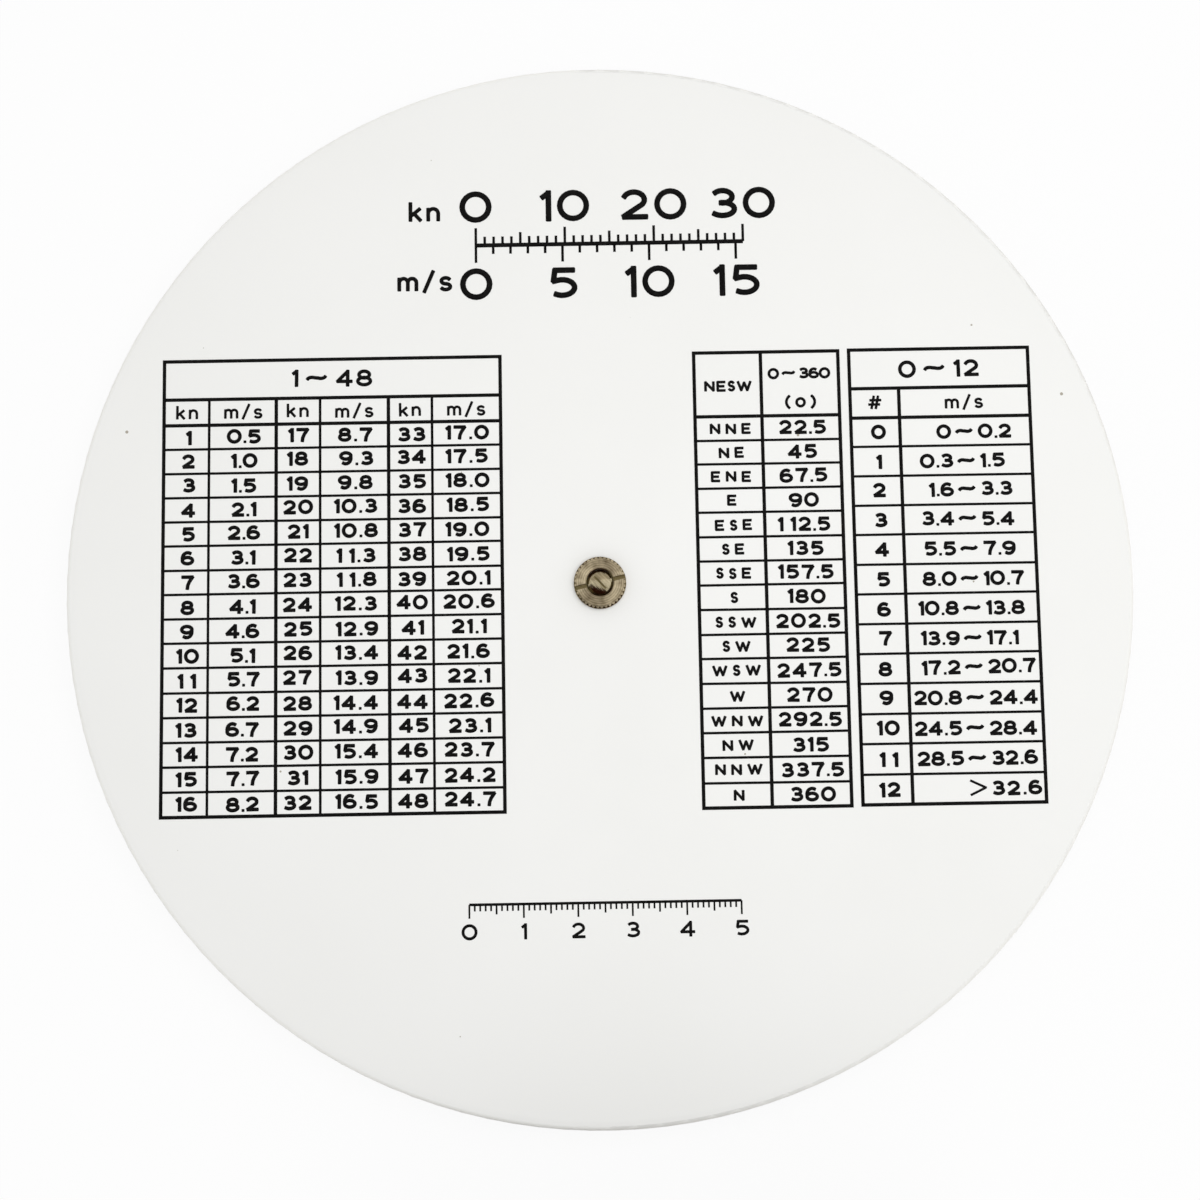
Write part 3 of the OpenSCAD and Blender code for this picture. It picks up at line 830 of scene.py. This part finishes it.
# red hairline of the cursor with a plain speed scale beside it
cursorScale = {"first": 15, "last": 75, "step": 5, "numberEvery": 10, "tick": 2.4, "longTick": 3.6,
               "tickNib": 0.22, "height": 2.1, "nib": 0.36, "numberX": 3.9,
               "hairNib": 0.28, "hairFirst": 13.2, "hairEnd": 1.2}
cursorBackZ = cursorHigh.z + inkFilm["lift"] * mm


def printCursor(d=cursorScale):
    hair = []
    addRule(hair, (0, d["hairFirst"]), (0, cursorHigh.y / mm - d["hairEnd"]), d["hairNib"])
    inkPiece("cursor_hairline", hair, cursorBackZ, -1, "cursor", "red_ink")
    strokes = []
    for radius in range(d["first"], d["last"] + 1, d["step"]):
        speed = radius - d["first"]
        numbered = speed % d["numberEvery"] == 0
        reach = d["longTick"] if numbered else d["tick"]
        for side in (1, -1):
            addRule(strokes, (side * d["hairNib"], radius), (side * reach / 2, radius), d["tickNib"])
        if numbered:
            addText(strokes, str(speed), d["numberX"], radius, d["height"], d["nib"])
    inkPiece("cursor_speed_scale", strokes, cursorBackZ, -1, "cursor", "black_ink")


printBaseRing()
printDial()
printCursor()
print("scale side printed")


# Stage: a white floor that keeps a soft shadow, soft light, and the camera of the photograph

stage = {"floorSize": 6.0, "floor": "F2F2F2", "glow": 0.9, "backdrop": 0.95, "fill": 0.67, "sides": 0.7,
         "keyFrom": (0.1, 0.02, 0.55), "keySize": 0.5, "keyPower": 1.97}
white = (1, 1, 1, 1)
# the metal mirrors a dark card on the photographer's side and a pale one across from it;
# a small dark card, low on the photographer's side, shades the near rim
cards = [{"name": "mirrorCard", "colour": "3A1A12", "azimuth": 248, "zenith": 44.5, "distance": 0.5,
          "width": 0.8, "height": 0.56, "mirrorOnly": True},
         {"name": "backCard", "colour": "DFD9D1", "azimuth": 94, "zenith": 40, "distance": 0.5,
          "width": 0.8, "height": 0.45, "mirrorOnly": True},
         {"name": "shadeCard", "colour": "2E2822", "azimuth": 273, "zenith": 83, "distance": 0.125,
          "width": 0.11, "height": 0.03, "mirrorOnly": False}]


# 1 for what the camera sees straight, in a mirror or through glass, and 0 for rays that light the object
def addShown(tree):
    path = addNode(tree, "ShaderNodeLightPath").outputs
    seen = addNode(tree, "ShaderNodeMath", {0: path["Is Camera Ray"], 1: path["Is Glossy Ray"]},
                   operation="MAXIMUM")
    return addNode(tree, "ShaderNodeMath", {0: seen, 1: path["Is Transmission Ray"]}, operation="MAXIMUM")


def makeFloor(d=stage):
    half = d["floorSize"] / 2
    corners = [(-half, -half, 0), (half, -half, 0), (half, half, 0), (-half, half, 0)]
    mesh = makeMesh("floor", corners, [], [(0, 1, 2, 3)])
    material = bpy.data.materials.new("whitePaperFloor")
    tree = emptyTree(material)
    paper = addNode(tree, "ShaderNodeBsdfDiffuse", {"Color": linearHex(d["floor"])})
    glow = addNode(tree, "ShaderNodeEmission", {"Color": white, "Strength": 1.0})
    share = addNode(tree, "ShaderNodeMath", {0: addShown(tree), 1: d["glow"]}, operation="MULTIPLY")
    both = addNode(tree, "ShaderNodeMixShader", {0: share, 1: paper, 2: glow})
    addNode(tree, "ShaderNodeOutputMaterial", {"Surface": both})
    mesh.materials.append(material)
    floor = placeObject("floor", mesh)


def makeCard(d):
    azimuth = math.radians(d["azimuth"])
    zenith = math.radians(d["zenith"])
    away = Vector((math.sin(zenith) * math.cos(azimuth), math.sin(zenith) * math.sin(azimuth),
                   math.cos(zenith)))
    side = away.cross(Vector((0, 0, 1))).normalized() * d["width"] / 2
    rise = side.cross(away).normalized() * d["height"] / 2
    middle = away * d["distance"]
    corners = [middle - side - rise, middle + side - rise, middle + side + rise, middle - side + rise]
    mesh = makeMesh(d["name"], corners, [], [(0, 1, 2, 3)])
    material = bpy.data.materials.new("dullPaperCard")
    tree = emptyTree(material)
    paper = addNode(tree, "ShaderNodeBsdfDiffuse", {"Color": linearHex(d["colour"])})
    addNode(tree, "ShaderNodeOutputMaterial", {"Surface": paper})
    mesh.materials.append(material)
    card = placeObject(d["name"], mesh)
    card.visible_camera = False
    card.visible_transmission = False
    card.visible_glossy = d["mirrorOnly"]
    card.visible_diffuse = not d["mirrorOnly"]
    card.visible_shadow = not d["mirrorOnly"]


def makeLight(d=stage):
    world = bpy.data.worlds.new("softStudio")
    bpy.context.scene.world = world
    tree = emptyTree(world)
    # a light tent: its sides are brighter than its top
    ray = addNode(tree, "ShaderNodeTexCoord").outputs["Generated"]
    rise = addNode(tree, "ShaderNodeSeparateXYZ", {"Vector": ray}).outputs["Z"]
    room = addNode(tree, "ShaderNodeMapRange", {"Value": rise, "To Min": d["fill"] * (1 + d["sides"]),
                                                "To Max": d["fill"] * (1 - d["sides"])})
    strength = addNode(tree, "ShaderNodeMix", {"Factor": addShown(tree), "A": room, "B": d["backdrop"]})
    sky = addNode(tree, "ShaderNodeBackground", {"Color": white, "Strength": strength})
    addNode(tree, "ShaderNodeOutputWorld", {"Surface": sky})
    lamp = bpy.data.lights.new("key", "AREA")
    lamp.size = d["keySize"]
    lamp.energy = d["keyPower"]
    key = placeObject("key", lamp)
    key.visible_camera = False
    key.visible_glossy = False
    key.location = d["keyFrom"]
    key.rotation_euler = Vector(d["keyFrom"]).to_track_quat("Z", "Y").to_euler()


# the photograph looks almost straight down: its camera stands back towards the bottom of the tables
photoView = {"distance": 300.0, "tilt": 6.02, "aimY": -3.17, "turn": -0.97, "focalPx": 1603.2,
             "framePx": 1200, "sensor": 36.0, "clipStart": 10.0}


def makeCamera(d=photoView):
    tilt = math.radians(d["tilt"])
    turn = Matrix.Rotation(math.radians(d["turn"]), 3, "Z")
    face = Vector((0, 0, baseHigh.z))
    eye = face + turn @ Vector((0, -math.sin(tilt), math.cos(tilt))) * d["distance"] * mm
    aim = face + turn @ Vector((0, d["aimY"] * mm, 0))
    back = (eye - aim).normalized()
    right = (turn @ Vector((0, 1, 0))).cross(back).normalized()
    axes = Matrix((right, back.cross(right), back)).transposed()
    lens = bpy.data.cameras.new("photoCamera")
    lens.sensor_width = d["sensor"]
    lens.lens = d["focalPx"] / d["framePx"] * d["sensor"]
    lens.clip_start = d["clipStart"] * mm
    camera = placeObject("photoCamera", lens)
    camera.matrix_world = Matrix.Translation(eye) @ axes.to_4x4()
    bpy.context.scene.camera = camera


makeFloor()
for card in cards:
    makeCard(card)
makeLight()
makeCamera()
bpy.context.scene.view_settings.view_transform = "Standard"
print("stage set")
